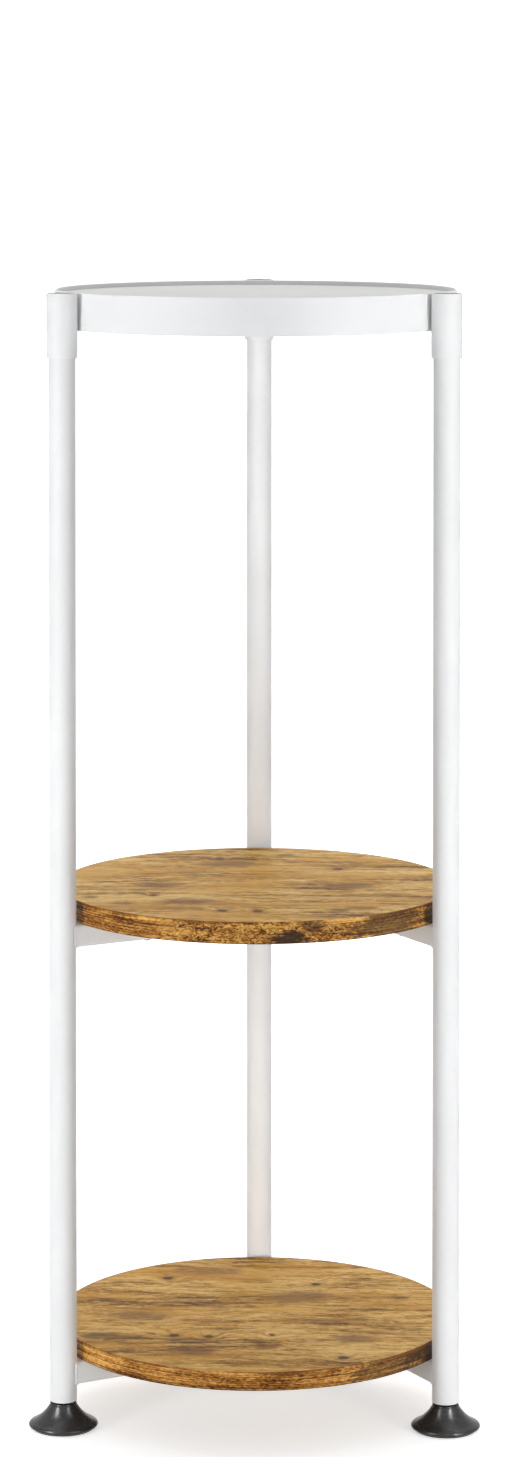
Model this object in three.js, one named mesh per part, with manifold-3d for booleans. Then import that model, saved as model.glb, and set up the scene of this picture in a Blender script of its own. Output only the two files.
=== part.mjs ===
// Three-tier plant stand: a round metal tray and two round boards between three tube legs.
// Units are millimetres, +Z is up and the floor is at z = 0.
// Two legs stand at the front (left and right) and one at the back.
import * as THREE from 'three';
import { mergeVertices } from 'three/addons/utils/BufferGeometryUtils.js';
import Module from 'manifold-3d';

const wasm = await Module();
wasm.setup();

// ---------------------------------------------------------------- driving dimensions

// Clearances
const GAP = 0.3;
const THREAD_CLEARANCE = 0.3;

// Top tray: a rolled band with a floor plate set a little below its rim
const TRAY_RADIUS = 151;
const BAND_WALL = 1.5;
const BAND_BELOW_FLANGE = 14.5;
const PLATE_RECESS = 3.5;
const PLATE_THICKNESS = 1.2;
const PLATE_FLANGE_HEIGHT = 10;
const PLATE_BEND_RADIUS = 2.5;

// Round-tube legs, and the sleeves on the band that take their tops
const LEG_RADIUS = 10;
const LEG_WALL = 1.5;
const SLEEVE_WALL = 1.2;
const SLEEVE_LENGTH = 47.5;
const CAP_THICKNESS = 2.4;
const CAP_RECESS = 1.2;
const CAP_EDGE_ROUNDING = 0.8;
const LEG_NUT_LENGTH = 22;

// Square-tube bars under the boards
const BAR_SIZE = 16;
const BAR_WALL = 1.5;
const BAR_CORNER_RADIUS = 2;
const BAR_INNER_CORNER_RADIUS = 1;
const STEM_PLUG_LENGTH = 16;

// Round boards with a band round their edge
const BOARD_LEG_GAP = 3.9;
const EDGE_BAND_THICKNESS = 1;
const MIDDLE_BOARD_THICKNESS = 16;
const BOTTOM_BOARD_THICKNESS = 13.5;

// Heights of the open bays, and of the bottom bars above the legs' ends
const BAR_ABOVE_LEG_END = 12.2;
const LOWER_BAY_HEIGHT = 294.5;
const UPPER_BAY_HEIGHT = 421.5;

// Trumpet-shaped feet: heights from the sole up, radii from the leg outwards
const FOOT_LIP_HEIGHT = 3;
const FOOT_SHOULDER_RISE = 2.6;
const FOOT_NECK_RISE = 13.2;
const FOOT_NECK_INSET = 0.4;
const FOOT_FLARE_REACH = 12.4;
const FOOT_LIP_REACH = 3.5;
const FOOT_SOLE_INSET = 4.5;
const FOOT_WAIST_REACH = 3.1;
const FOOT_WAIST_RISE = 5.8;
const FOOT_BORE_FLOOR = 5;
const INSERT_FLANGE_THICKNESS = 1.2;
const INSERT_LENGTH = 30;
const STUD_RADIUS = 4;
const STUD_ENGAGEMENT = 26;

// Fasteners: bite is the length that holds in the piece they fasten to
const TRAY_SCREW = {
  shankRadius: 2.5,
  bite: 6.5,
  headRadius: 4.75,
  headHeight: 2.7,
  crownRadius: 2.4,
  socketWidth: 3,
  socketDepth: 1.8,
};
const STEM_BOLT = {
  shankRadius: 3,
  bite: 12,
  headRadius: 5.25,
  headHeight: 3.3,
  crownRadius: 2.6,
  socketWidth: 4,
  socketDepth: 2.2,
};
const BOARD_SCREW = {
  shankRadius: 2,
  bite: 9,
  tipLength: 4,
  headRadius: 4,
  headHeight: 2.2,
  crownRadius: 2.8,
  slotLength: 4.8,
  slotWidth: 1,
  slotDepth: 1.1,
};
const STEM_SCREW_INSET = 56;
const CROSS_SCREW_INSET = 35;

// Smoothness of round pieces
const RING_SEGMENTS = 64;
const TUBE_SEGMENTS = 32;
const HOLE_SEGMENTS = 12;
const ARC_STEPS = 3;

// ---------------------------------------------------------------- derived dimensions

// Plan
const BAND_INNER_RADIUS = TRAY_RADIUS - BAND_WALL;
const SLEEVE_BORE_RADIUS = LEG_RADIUS + GAP;
const SLEEVE_RADIUS = SLEEVE_BORE_RADIUS + SLEEVE_WALL;
const LEG_INNER_RADIUS = LEG_RADIUS - LEG_WALL;
const LEG_CIRCLE_RADIUS = TRAY_RADIUS + GAP + SLEEVE_RADIUS;
const BOARD_RADIUS = LEG_CIRCLE_RADIUS - LEG_RADIUS - BOARD_LEG_GAP;
const STEM_SCREW_FROM_CENTRE = BOARD_RADIUS - STEM_SCREW_INSET;
const CROSS_SCREW_CIRCLE = BOARD_RADIUS - CROSS_SCREW_INSET;
const CROSS_BAR_FROM_CENTRE = LEG_CIRCLE_RADIUS / 2;
const CROSS_BAR_HALF_SPAN = LEG_CIRCLE_RADIUS * Math.sin(Math.PI / 3);
const CROSS_SCREW_FROM_MIDDLE = Math.sqrt(CROSS_SCREW_CIRCLE ** 2 - CROSS_BAR_FROM_CENTRE ** 2);
const STEM_END = CROSS_BAR_FROM_CENTRE - BAR_SIZE / 2 - GAP;

// Feet
const FOOT_NECK_RADIUS = LEG_RADIUS - FOOT_NECK_INSET;
const FOOT_SHOULDER_RADIUS = FOOT_NECK_RADIUS + FOOT_FLARE_REACH;
const FOOT_LIP_RADIUS = FOOT_SHOULDER_RADIUS + FOOT_LIP_REACH;
const FOOT_SOLE_RADIUS = FOOT_LIP_RADIUS - FOOT_SOLE_INSET;
const FOOT_SHOULDER_HEIGHT = FOOT_LIP_HEIGHT + FOOT_SHOULDER_RISE;
const FOOT_HEIGHT = FOOT_SHOULDER_HEIGHT + FOOT_NECK_RISE;
const STUD_BORE_RADIUS = STUD_RADIUS + THREAD_CLEARANCE;

// Heights above the floor, from the feet up
const LEG_BOTTOM = FOOT_HEIGHT + GAP + INSERT_FLANGE_THICKNESS;
const BOTTOM_BOARD_UNDERSIDE = LEG_BOTTOM + BAR_ABOVE_LEG_END + BAR_SIZE;
const MIDDLE_BOARD_UNDERSIDE = BOTTOM_BOARD_UNDERSIDE + BOTTOM_BOARD_THICKNESS + LOWER_BAY_HEIGHT + BAR_SIZE;
const BAND_BOTTOM = MIDDLE_BOARD_UNDERSIDE + MIDDLE_BOARD_THICKNESS + UPPER_BAY_HEIGHT;
const PLATE_FLANGE_BOTTOM = BAND_BOTTOM + BAND_BELOW_FLANGE;
const PLATE_TOP = PLATE_FLANGE_BOTTOM + PLATE_FLANGE_HEIGHT;
const TRAY_RIM_HEIGHT = PLATE_TOP + PLATE_RECESS;
const CAP_TOP = TRAY_RIM_HEIGHT - CAP_RECESS;
const CAP_UNDERSIDE = CAP_TOP - CAP_THICKNESS;
const LEG_TOP = CAP_UNDERSIDE - GAP;
const TRAY_SCREW_HEIGHT = (BAND_BOTTOM + PLATE_FLANGE_BOTTOM) / 2;

// Fastener lengths under the head
const TRAY_SCREW_SEAT = BAND_INNER_RADIUS * Math.cos(Math.PI / RING_SEGMENTS) - GAP;
const TRAY_SCREW_LENGTH = LEG_CIRCLE_RADIUS - LEG_INNER_RADIUS + TRAY_SCREW.bite - TRAY_SCREW_SEAT;
const STEM_BOLT_LENGTH = BAR_SIZE + 2 * GAP + STEM_BOLT.bite;
const BOARD_SCREW_LENGTH = BAR_SIZE + BOARD_SCREW.bite;

// Legs stand a third of a turn apart. Angles are seen from above, from +X towards +Y.
const LEGS = [
  { side: 'left', angle: 210 },
  { side: 'right', angle: 330 },
  { side: 'back', angle: 90 },
].map(({ side, angle }) => ({ side, turn: THREE.MathUtils.degToRad(angle) }));

// The stem bars point from the left leg through the stand's axis.
const STEM_DIRECTION = LEGS[0].turn + Math.PI;

// Places of the board screws, each named for the leg it is nearest to, along and across the stem bar.
const BOARD_SCREWS = [
  { side: 'left', along: -STEM_SCREW_FROM_CENTRE, across: 0 },
  { side: 'right', along: CROSS_BAR_FROM_CENTRE, across: -CROSS_SCREW_FROM_MIDDLE },
  { side: 'back', along: CROSS_BAR_FROM_CENTRE, across: CROSS_SCREW_FROM_MIDDLE },
];

// The origin lies below the middle of the whole stand, whose back foot reaches further than the tray.
const DEPTH_BEHIND_AXIS = LEG_CIRCLE_RADIUS + FOOT_LIP_RADIUS;
const DEPTH_BEFORE_AXIS = TRAY_RADIUS;
const AXIS_Y = (DEPTH_BEFORE_AXIS - DEPTH_BEHIND_AXIS) / 2;

// ---------------------------------------------------------------- finishes

const FINISHES = {
  whiteCoat: { color: '#e9e9e8', roughness: 0.42, metalness: 0 },
  greyCoat: { color: '#cfd0cd', roughness: 0.5, metalness: 0 },
  board: { color: '#b98a50', roughness: 0.6, metalness: 0 },
  edge: { color: '#a8743c', roughness: 0.55, metalness: 0 },
  blackPlastic: { color: '#2b2b2c', roughness: 0.42, metalness: 0 },
  zinc: { color: '#b9bcc0', roughness: 0.35, metalness: 1 },
};

function addMesh(group, name, geometry, finish) {
  const mesh = new THREE.Mesh(geometry, new THREE.MeshStandardMaterial(FINISHES[finish]));
  mesh.name = name;
  group.add(mesh);
  return mesh;
}

// A group whose +X points from the stand's axis along the given turn.
function turnedGroup(parent, turn) {
  const group = new THREE.Group();
  group.rotation.z = turn;
  parent.add(group);
  return group;
}

// ---------------------------------------------------------------- shapes

function point(radius, height) {
  return new THREE.Vector2(radius, height);
}

// Turns an outline, given as radius and height, round the Z axis.
function revolve(outline, segments) {
  return new THREE.LatheGeometry(outline, segments).rotateX(Math.PI / 2);
}

function makeTube(outer, inner, low, high, segments) {
  const start = point(outer, low);
  return revolve([start, point(outer, high), point(inner, high), point(inner, low), start.clone()], segments);
}

function makeRod(radius, low, high, segments) {
  return revolve([point(0, low), point(radius, low), point(radius, high), point(0, high)], segments);
}

function makeRodAlongX(radius, from, to) {
  return makeRod(radius, from, to, HOLE_SEGMENTS).rotateY(Math.PI / 2);
}

// Points of an arc about a centre, from one angle to another in degrees.
function arcPoints(centreRadius, centreHeight, size, fromAngle, toAngle) {
  const start = THREE.MathUtils.degToRad(fromAngle);
  const end = THREE.MathUtils.degToRad(toAngle);
  const clockwise = toAngle < fromAngle;
  const arc = new THREE.EllipseCurve(centreRadius, centreHeight, size, size, start, end, clockwise);
  return arc.getPoints(ARC_STEPS);
}

// Rounded square, as a Shape or as the Path of a hole.
function roundedSquare(Kind, size, corner) {
  const half = size / 2;
  const flat = half - corner;
  const square = new Kind();
  square.moveTo(half, -flat);
  square.lineTo(half, flat);
  square.absarc(flat, flat, corner, 0, Math.PI / 2);
  square.absarc(-flat, flat, corner, Math.PI / 2, Math.PI);
  square.absarc(-flat, -flat, corner, Math.PI, Math.PI * 1.5);
  square.absarc(flat, -flat, corner, Math.PI * 1.5, Math.PI * 2);
  return square;
}

// Runs an outline along +X, at the height of a bar whose flat top is at z = 0.
function runAlongBar(outline, from, to) {
  const settings = { depth: to - from, bevelEnabled: false, curveSegments: ARC_STEPS };
  const run = new THREE.ExtrudeGeometry(outline, settings);
  return run.rotateY(Math.PI / 2).translate(from, 0, -BAR_SIZE / 2);
}

function makeSquareTube(from, to) {
  const outline = roundedSquare(THREE.Shape, BAR_SIZE, BAR_CORNER_RADIUS);
  outline.holes.push(roundedSquare(THREE.Path, BAR_SIZE - 2 * BAR_WALL, BAR_INNER_CORNER_RADIUS));
  return runAlongBar(outline, from, to);
}

// ---------------------------------------------------------------- cutting

function toSolid(geometry) {
  const bare = geometry.clone();
  bare.deleteAttribute('normal');
  bare.deleteAttribute('uv');
  const merged = mergeVertices(bare);
  const mesh = new wasm.Mesh({
    numProp: 3,
    vertProperties: merged.attributes.position.array,
    triVerts: new Uint32Array(merged.index.array),
  });
  return new wasm.Manifold(mesh);
}

function toGeometry(solid) {
  const mesh = solid.getMesh();
  const geometry = new THREE.BufferGeometry();
  geometry.setAttribute('position', new THREE.BufferAttribute(mesh.vertProperties, 3));
  geometry.setIndex(new THREE.BufferAttribute(mesh.triVerts, 1));
  geometry.computeVertexNormals();
  return geometry;
}

function cut(body, cutters) {
  const remaining = cutters.reduce((solid, cutter) => solid.subtract(toSolid(cutter)), toSolid(body));
  return toGeometry(remaining);
}

// ---------------------------------------------------------------- fasteners

// Button-head screw along +X: its head's flat underside is at x = 0.
function makeButtonScrew(screw, length) {
  const { shankRadius, headRadius, headHeight, crownRadius, socketWidth, socketDepth } = screw;
  const crown = new THREE.Path();
  crown.moveTo(crownRadius, -headHeight);
  crown.quadraticCurveTo(headRadius, -headHeight, headRadius, 0);
  const outline = [
    point(0, -headHeight),
    ...crown.getPoints(ARC_STEPS),
    point(shankRadius, 0),
    point(shankRadius, length),
    point(0, length),
  ];
  const hexSocket = makeRod(socketWidth / Math.sqrt(3), -2 * headHeight, socketDepth - headHeight, 6);
  return cut(revolve(outline, HOLE_SEGMENTS), [hexSocket]).rotateY(Math.PI / 2);
}

// Pan-head wood screw pointing up: its head's flat underside is at z = 0.
function makeWoodScrew(screw, length) {
  const { shankRadius, tipLength, headRadius, headHeight, crownRadius } = screw;
  const outline = [
    point(0, -headHeight),
    point(crownRadius, -headHeight),
    point(headRadius, -headHeight / 2),
    point(headRadius, 0),
    point(shankRadius, 0),
    point(shankRadius, length - tipLength),
    point(0, length),
  ];
  const slot = new THREE.BoxGeometry(screw.slotLength, screw.slotWidth, 2 * screw.slotDepth);
  slot.translate(0, 0, -headHeight);
  return cut(revolve(outline, HOLE_SEGMENTS), [slot, slot.clone().rotateZ(Math.PI / 2)]);
}

// ---------------------------------------------------------------- top tray

// Hole for a tray screw, from inside the band through the sleeve and the leg into the leg nut.
function trayScrewHole() {
  const from = TRAY_SCREW_SEAT - TRAY_SCREW.headHeight;
  const hole = makeRodAlongX(TRAY_SCREW.shankRadius + THREAD_CLEARANCE, from, LEG_CIRCLE_RADIUS);
  return hole.translate(0, 0, TRAY_SCREW_HEIGHT);
}

// Upright band whose rim is rounded over the whole wall.
function makeTrayBand() {
  const rounding = BAND_WALL / 2;
  const outline = [
    point(TRAY_RADIUS, BAND_BOTTOM),
    ...arcPoints(TRAY_RADIUS - rounding, TRAY_RIM_HEIGHT - rounding, rounding, 0, 180),
    point(BAND_INNER_RADIUS, BAND_BOTTOM),
    point(TRAY_RADIUS, BAND_BOTTOM),
  ];
  const holes = LEGS.map(({ turn }) => trayScrewHole().rotateZ(turn));
  return cut(revolve(outline, RING_SEGMENTS), holes);
}

// Flat floor with a turned-down flange that is welded to the band.
function makeTrayPlate() {
  const outer = BAND_INNER_RADIUS - GAP;
  const bendRadius = outer - PLATE_BEND_RADIUS;
  const bendHeight = PLATE_TOP - PLATE_BEND_RADIUS;
  return revolve([
    point(0, PLATE_TOP - PLATE_THICKNESS),
    ...arcPoints(bendRadius, bendHeight, PLATE_BEND_RADIUS - PLATE_THICKNESS, 90, 0),
    point(outer - PLATE_THICKNESS, PLATE_FLANGE_BOTTOM),
    point(outer, PLATE_FLANGE_BOTTOM),
    ...arcPoints(bendRadius, bendHeight, PLATE_BEND_RADIUS, 0, 90),
    point(0, PLATE_TOP),
  ], RING_SEGMENTS);
}

function makeSleeve() {
  const low = TRAY_RIM_HEIGHT - SLEEVE_LENGTH;
  const tube = makeTube(SLEEVE_RADIUS, SLEEVE_BORE_RADIUS, low, TRAY_RIM_HEIGHT, TUBE_SEGMENTS);
  return cut(tube.translate(LEG_CIRCLE_RADIUS, 0, 0), [trayScrewHole()]);
}

// Disc that closes a sleeve's mouth, a little below its edge.
function makeSleeveCap() {
  const radius = SLEEVE_BORE_RADIUS - GAP;
  const outline = [
    point(0, CAP_UNDERSIDE),
    point(radius, CAP_UNDERSIDE),
    ...arcPoints(radius - CAP_EDGE_ROUNDING, CAP_TOP - CAP_EDGE_ROUNDING, CAP_EDGE_ROUNDING, 0, 90),
    point(0, CAP_TOP),
  ];
  return revolve(outline, TUBE_SEGMENTS).translate(LEG_CIRCLE_RADIUS, 0, 0);
}

// Slug inside a leg's top, tapped across for the tray screw.
function makeLegNut() {
  const low = TRAY_SCREW_HEIGHT - LEG_NUT_LENGTH / 2;
  const slug = makeRod(LEG_INNER_RADIUS - GAP, low, low + LEG_NUT_LENGTH, TUBE_SEGMENTS);
  return cut(slug.translate(LEG_CIRCLE_RADIUS, 0, 0), [trayScrewHole()]);
}

function makeTrayScrew() {
  return makeButtonScrew(TRAY_SCREW, TRAY_SCREW_LENGTH).translate(TRAY_SCREW_SEAT, 0, TRAY_SCREW_HEIGHT);
}

function addTopTray(stand) {
  addMesh(stand, 'tray_band', makeTrayBand(), 'whiteCoat');
  addMesh(stand, 'tray_plate', makeTrayPlate(), 'greyCoat');
  for (const { side, turn } of LEGS) {
    const arm = turnedGroup(stand, turn);
    addMesh(arm, `sleeve_${side}`, makeSleeve(), 'whiteCoat');
    addMesh(arm, `sleeve_cap_${side}`, makeSleeveCap(), 'whiteCoat');
    addMesh(arm, `leg_nut_${side}`, makeLegNut(), 'zinc');
    addMesh(arm, `tray_screw_${side}`, makeTrayScrew(), 'zinc');
  }
}

// ---------------------------------------------------------------- legs and feet

function makeLeg() {
  const tube = makeTube(LEG_RADIUS, LEG_INNER_RADIUS, LEG_BOTTOM, LEG_TOP, TUBE_SEGMENTS);
  return cut(tube.translate(LEG_CIRCLE_RADIUS, 0, 0), [trayScrewHole()]);
}

// Threaded plug in the tube's end, whose flange covers the tube's wall.
function makeFootInsert() {
  const flange = LEG_RADIUS - GAP;
  const plug = LEG_INNER_RADIUS - GAP;
  const low = LEG_BOTTOM - INSERT_FLANGE_THICKNESS;
  const high = LEG_BOTTOM + INSERT_LENGTH;
  return revolve([
    point(flange, low),
    point(flange, LEG_BOTTOM),
    point(plug, LEG_BOTTOM),
    point(plug, high),
    point(STUD_BORE_RADIUS, high),
    point(STUD_BORE_RADIUS, low),
    point(flange, low),
  ], TUBE_SEGMENTS);
}

function makeFootStud() {
  return makeRod(STUD_RADIUS, FOOT_BORE_FLOOR + GAP, LEG_BOTTOM + STUD_ENGAGEMENT, HOLE_SEGMENTS);
}

// A hollow flare from the neck to the shoulder, then a rounded lip down to the flat sole.
function makeFootPad() {
  const side = new THREE.Path();
  side.moveTo(FOOT_SOLE_RADIUS, 0);
  side.quadraticCurveTo(FOOT_LIP_RADIUS, 0, FOOT_LIP_RADIUS, FOOT_LIP_HEIGHT);
  side.quadraticCurveTo(
    FOOT_LIP_RADIUS,
    FOOT_LIP_HEIGHT + FOOT_SHOULDER_RISE / 2,
    FOOT_SHOULDER_RADIUS,
    FOOT_SHOULDER_HEIGHT,
  );
  side.quadraticCurveTo(
    FOOT_NECK_RADIUS + FOOT_WAIST_REACH,
    FOOT_SHOULDER_HEIGHT + FOOT_WAIST_RISE,
    FOOT_NECK_RADIUS,
    FOOT_HEIGHT,
  );
  return revolve([
    point(0, 0),
    ...side.getPoints(ARC_STEPS),
    point(STUD_BORE_RADIUS, FOOT_HEIGHT),
    point(STUD_BORE_RADIUS, FOOT_BORE_FLOOR),
    point(0, FOOT_BORE_FLOOR),
  ], TUBE_SEGMENTS);
}

function addLegs(stand) {
  for (const { side, turn } of LEGS) {
    const arm = turnedGroup(stand, turn);
    addMesh(arm, `leg_${side}`, makeLeg(), 'whiteCoat');
    const footPieces = [
      addMesh(arm, `foot_insert_${side}`, makeFootInsert(), 'blackPlastic'),
      addMesh(arm, `foot_stud_${side}`, makeFootStud(), 'zinc'),
      addMesh(arm, `foot_pad_${side}`, makeFootPad(), 'blackPlastic'),
    ];
    for (const piece of footPieces) {
      piece.position.x = LEG_CIRCLE_RADIUS;
    }
  }
}

// ---------------------------------------------------------------- shelves

// A shelf's pieces are drawn along the stem bar, with the board's underside at z = 0.

// Upright cutter that copes a bar's end to the leg at that place.
function legCope(along, across) {
  return makeRod(LEG_RADIUS + GAP, -2 * BAR_SIZE, BAR_SIZE, TUBE_SEGMENTS).translate(along, across, 0);
}

// Upright hole for a board screw, from below the bar up to the given height.
function boardScrewHole(screw, high) {
  const hole = makeRod(BOARD_SCREW.shankRadius + THREAD_CLEARANCE, -2 * BAR_SIZE, high, HOLE_SEGMENTS);
  return hole.translate(screw.along, screw.across, 0);
}

// Hole for the stem bolt, through the cross bar and the stem's plug.
function stemBoltHole() {
  const from = STEM_END - STEM_PLUG_LENGTH - BAR_SIZE;
  const to = CROSS_BAR_FROM_CENTRE + BAR_SIZE;
  return makeRodAlongX(STEM_BOLT.shankRadius + THREAD_CLEARANCE, from, to).translate(0, 0, -BAR_SIZE / 2);
}

function makeStemBar() {
  const cutters = [legCope(-LEG_CIRCLE_RADIUS, 0), boardScrewHole(BOARD_SCREWS[0], BAR_SIZE)];
  return cut(makeSquareTube(-LEG_CIRCLE_RADIUS, STEM_END), cutters);
}

function makeCrossBar() {
  const bar = makeSquareTube(-CROSS_BAR_HALF_SPAN, CROSS_BAR_HALF_SPAN).rotateZ(Math.PI / 2);
  const cutters = [
    stemBoltHole(),
    legCope(CROSS_BAR_FROM_CENTRE, -CROSS_BAR_HALF_SPAN),
    legCope(CROSS_BAR_FROM_CENTRE, CROSS_BAR_HALF_SPAN),
    ...BOARD_SCREWS.slice(1).map((screw) => boardScrewHole(screw, BAR_SIZE)),
  ];
  return cut(bar.translate(CROSS_BAR_FROM_CENTRE, 0, 0), cutters);
}

// Tapped block in the stem bar's end.
function makeStemPlug() {
  const size = BAR_SIZE - 2 * BAR_WALL - 2 * GAP;
  const outline = roundedSquare(THREE.Shape, size, BAR_INNER_CORNER_RADIUS);
  return cut(runAlongBar(outline, STEM_END - STEM_PLUG_LENGTH, STEM_END), [stemBoltHole()]);
}

// The bolt's head bears on the far side of the cross bar, and its shank points at the left leg.
function makeStemBolt() {
  const seat = CROSS_BAR_FROM_CENTRE + BAR_SIZE / 2 + GAP;
  return makeButtonScrew(STEM_BOLT, STEM_BOLT_LENGTH).rotateZ(Math.PI).translate(seat, 0, -BAR_SIZE / 2);
}

function makeBoard(thickness) {
  const core = makeRod(BOARD_RADIUS - EDGE_BAND_THICKNESS - GAP, 0, thickness, RING_SEGMENTS);
  const pilots = BOARD_SCREWS.map((screw) => boardScrewHole(screw, BOARD_SCREW.bite + THREAD_CLEARANCE));
  return cut(core, pilots);
}

function makeEdgeBand(thickness) {
  return makeTube(BOARD_RADIUS, BOARD_RADIUS - EDGE_BAND_THICKNESS, 0, thickness, RING_SEGMENTS);
}

function addShelf(stand, tier, underside, thickness) {
  const shelf = turnedGroup(stand, STEM_DIRECTION);
  shelf.position.z = underside;
  addMesh(shelf, `${tier}_board`, makeBoard(thickness), 'board');
  addMesh(shelf, `${tier}_edge_band`, makeEdgeBand(thickness), 'edge');
  addMesh(shelf, `${tier}_stem_bar`, makeStemBar(), 'whiteCoat');
  addMesh(shelf, `${tier}_cross_bar`, makeCrossBar(), 'whiteCoat');
  addMesh(shelf, `${tier}_stem_plug`, makeStemPlug(), 'zinc');
  addMesh(shelf, `${tier}_stem_bolt`, makeStemBolt(), 'zinc');
  for (const { side, along, across } of BOARD_SCREWS) {
    const screw = makeWoodScrew(BOARD_SCREW, BOARD_SCREW_LENGTH);
    addMesh(shelf, `${tier}_board_screw_${side}`, screw, 'zinc').position.set(along, across, -BAR_SIZE);
  }
}

// ---------------------------------------------------------------- the whole stand

const stand = new THREE.Group();
stand.position.y = AXIS_Y;
addTopTray(stand);
addLegs(stand);
addShelf(stand, 'middle', MIDDLE_BOARD_UNDERSIDE, MIDDLE_BOARD_THICKNESS);
addShelf(stand, 'bottom', BOTTOM_BOARD_UNDERSIDE, BOTTOM_BOARD_THICKNESS);

export default stand;
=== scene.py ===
"""Dresses a three-tier plant stand: white steel legs and tray, rustic wood shelves, black levelling feet."""

import math

import bmesh
import bpy
from mathutils import Matrix, Vector


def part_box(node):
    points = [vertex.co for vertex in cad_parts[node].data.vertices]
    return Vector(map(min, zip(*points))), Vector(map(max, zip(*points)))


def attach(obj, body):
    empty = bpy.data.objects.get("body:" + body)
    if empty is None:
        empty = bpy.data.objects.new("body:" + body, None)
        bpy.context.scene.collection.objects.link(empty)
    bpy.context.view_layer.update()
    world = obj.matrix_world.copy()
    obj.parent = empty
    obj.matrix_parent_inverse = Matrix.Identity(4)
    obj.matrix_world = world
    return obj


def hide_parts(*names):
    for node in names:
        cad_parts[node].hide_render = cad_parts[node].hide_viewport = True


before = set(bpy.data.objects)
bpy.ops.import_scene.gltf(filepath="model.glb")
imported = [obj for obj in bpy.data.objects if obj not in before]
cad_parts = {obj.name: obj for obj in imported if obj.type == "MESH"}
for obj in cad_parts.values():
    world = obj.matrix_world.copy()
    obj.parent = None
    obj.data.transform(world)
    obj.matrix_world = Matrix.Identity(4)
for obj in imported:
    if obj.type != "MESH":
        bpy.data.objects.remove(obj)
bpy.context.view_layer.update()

bl_info = {
    "name": "Plant stand",
    "version": (1, 0, 0),
    "blender": (4, 5, 0),
    "location": "3D View > Sidebar > Plant stand",
    "description": "Dresses a three-tier plant stand in steel, wood and plastic",
    "category": "Object",
}

MM = 0.001
MERGE_DISTANCE = 0.0001 * MM
SMOOTH_ANGLE = math.radians(34)
SIDES = ("left", "right", "back")
TIERS = ("middle", "bottom")
COAT_ROUGHNESS = 0.48


# ---------------------------------------------------------------- sizes that the frame doesn't give

GAP = 0.3 * MM
TUBE_WALL = 1.5 * MM
TRAY_SHEET = 1.2 * MM
SEAM_CHAMFER = 0.15 * MM
PILOT_HOLE = 1.7 * MM
BAR_HOLE = 2.2 * MM

# Shanks and heads are radii. Sockets and crosses are measured across.
TRAY_SCREW = dict(shank=2.5 * MM, head=4.75 * MM, head_height=2.7 * MM, socket=3 * MM, pitch=0.8 * MM)
STEM_BOLT = dict(shank=3 * MM, head=5.25 * MM, head_height=3.3 * MM, socket=4 * MM, pitch=1 * MM)
STEM_BOLT_LENGTH = 28 * MM
BOARD_SCREW = dict(shank=2 * MM, head=4 * MM, cross_length=4.4 * MM, cross_width=0.9 * MM)

# Steps round a turned piece.
DISC_STEPS = 192
FOOT_STEPS = 128
TUBE_STEPS = 96
HEAD_STEPS = 48
SHANK_STEPS = 40
HOLE_STEPS = 32


# ---------------------------------------------------------------- sizes read from the frame


def centre_of(node):
    """Middle of a CAD node in plan."""
    low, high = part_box(node)
    return ((low + high) / 2).xy


def heights_of(node):
    """Lowest and highest level of a CAD node."""
    low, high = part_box(node)
    return low.z, high.z


def middle_height(node):
    return sum(heights_of(node)) / 2


def corners_of(node):
    """Places of a CAD node's corners."""
    return [vertex.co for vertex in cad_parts[node].data.vertices]


def outer_radius(node, centre):
    """Distance of a CAD node's farthest corner from an upright line."""
    return max((corner.xy - centre).length for corner in corners_of(node))


def inner_radius(node, centre):
    """Distance of a CAD node's nearest corner from an upright line."""
    return min((corner.xy - centre).length for corner in corners_of(node))


LEG_PLACES = {side: centre_of(f"leg_{side}") for side in SIDES}
AXIS = sum(LEG_PLACES.values(), Vector((0, 0))) / len(SIDES)
LEG_RADIUS = outer_radius("leg_back", LEG_PLACES["back"])


def outward(side):
    """Direction in plan from the stand's axis to a leg."""
    return (LEG_PLACES[side] - AXIS).normalized()


# ---------------------------------------------------------------- what a user would change


def paint(code):
    """Linear colour of a #rrggbb code."""
    shades = [int(code[place : place + 2], 16) / 255 for place in (1, 3, 5)]
    return tuple(s / 12.92 if s <= 0.04045 else ((s + 0.055) / 1.055) ** 2.4 for s in shades)


def number_property(name, description, default, **kind):
    return bpy.props.FloatProperty(name=name, description=description, default=default, min=0, **kind)


def length_property(name, description, millimetres):
    return number_property(name, description, millimetres * MM, subtype="DISTANCE", unit="LENGTH")


def power_property(name, description, watts):
    return number_property(name, description, watts, unit="POWER")


def angle_property(name, description, degrees):
    return number_property(name, description, math.radians(degrees), subtype="ANGLE")


def share_property(name, description, share):
    return number_property(name, description, share, max=1, subtype="FACTOR")


def colour_property(name, description, code):
    return bpy.props.FloatVectorProperty(
        name=name, description=description, default=paint(code), size=3, min=0, max=1, subtype="COLOR"
    )


class StandShapes(bpy.types.PropertyGroup):
    """Fine shapes that the frame doesn't hold"""

    edge_rounding: length_property("Edge rounding", "Radius of the small edges of sheet and tube", 0.3)
    board_rounding: length_property("Board rounding", "Radius of the edge band's corners", 0.5)
    bend_radius: length_property("Bend radius", "Outer bend between the tray's floor and its flange", 2.5)
    bar_corner: length_property("Bar corner", "Outer corner radius of the square bars", 2)
    cap_rounding: length_property("Cap rounding", "Edge radius of the caps on the sleeves", 0.8)
    weld_radius: length_property("Weld radius", "Radius of the weld beads", 0.9)
    weld_ripple: length_property("Weld ripple", "Spacing of the ripples along a weld", 1.1)
    stud_pitch: length_property("Stud pitch", "Thread pitch of the levelling studs", 1.25)
    stud_thread: length_property("Stud thread depth", "Thread depth of the levelling studs", 0.7)
    wood_pitch: length_property("Wood screw pitch", "Thread pitch of the board screws", 1.6)
    wood_thread: length_property("Wood screw thread depth", "Thread depth of the board screws", 0.6)
    wood_point: length_property("Wood screw point", "Length of the board screws' point", 4)


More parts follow.
